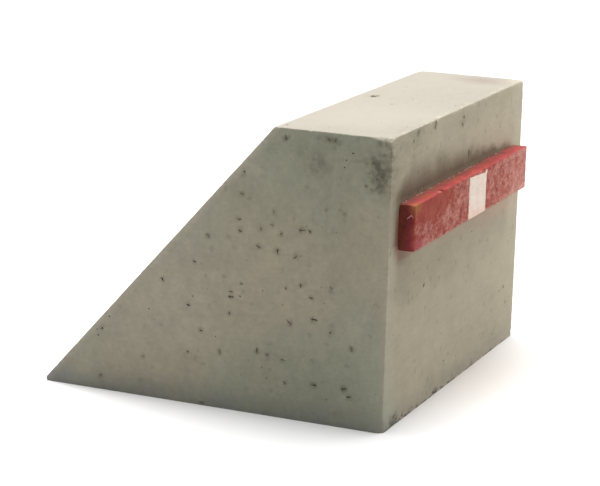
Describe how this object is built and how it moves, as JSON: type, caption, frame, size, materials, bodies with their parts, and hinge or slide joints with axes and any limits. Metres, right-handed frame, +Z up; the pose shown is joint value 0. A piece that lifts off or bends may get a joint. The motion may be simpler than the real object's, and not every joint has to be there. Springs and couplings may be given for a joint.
{
  "type": "railway buffer stop block",
  "caption": "Cast concrete wedge block with an upright face that carries a painted timber buffer beam, for the end of a track.",
  "frame": {"origin": "middle of the block's base, on the ground", "axes": "+Z up; Y along the track, with the upright face and its beam towards -Y and the toe of the slope towards +Y; X across the track"},
  "size_m": [2.45, 2.415, 1.8],
  "materials": {
    "concrete": "weathered fair-faced cast concrete with small blowholes",
    "beam_paint": "timber brush-painted red with a white band, worn"
  },
  "bodies": {
    "root": {"concrete_block": "concrete", "buffer_beam": "beam_paint"}
  },
  "joints": []
}
